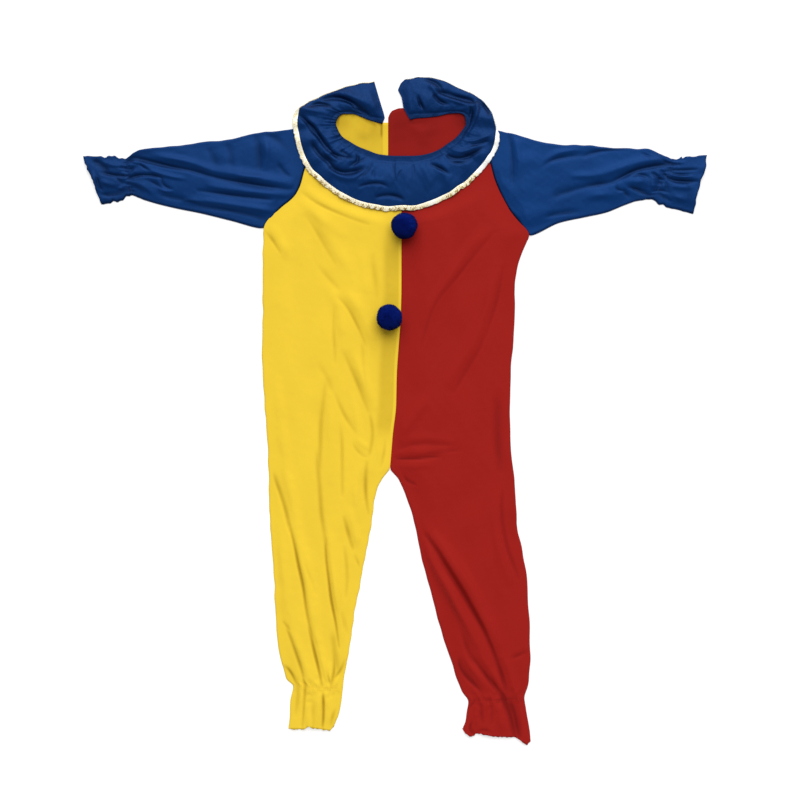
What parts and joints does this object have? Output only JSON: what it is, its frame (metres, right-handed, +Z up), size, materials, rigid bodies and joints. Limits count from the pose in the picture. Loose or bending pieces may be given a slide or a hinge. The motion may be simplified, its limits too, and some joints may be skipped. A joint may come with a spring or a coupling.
{
  "type": "clown romper costume",
  "caption": "Child's one-piece clown romper laid flat, halves in yellow and red, blue raglan sleeves, gathered neck collar with braid edge, pompoms down the front.",
  "frame": {"origin": "centre of the underside of its bounding box, on the surface that the garment lies on", "axes": "+Y to the neck, +Z up from the surface and out of the front, +X to the red half"},
  "size_m": [0.935, 1.0009, 0.0427],
  "materials": {
    "yellow_cloth": "thin polyester knit with a slight sheen",
    "red_cloth": "thin polyester knit with a slight sheen",
    "blue_cloth": "thin polyester knit with a slight sheen",
    "braid": "narrow cream braid with metallic gold threads",
    "pompom_yarn": "fluffy matt acrylic pile"
  },
  "bodies": {
    "root": {"front_yellow": "yellow_cloth", "front_red": "red_cloth", "back_yellow": "yellow_cloth", "back_red": "red_cloth", "sleeve_left": "blue_cloth", "sleeve_right": "blue_cloth", "collar": "blue_cloth", "collar_trim": "braid", "pompom_top": "pompom_yarn", "pompom_bottom": "pompom_yarn"}
  },
  "joints": []
}
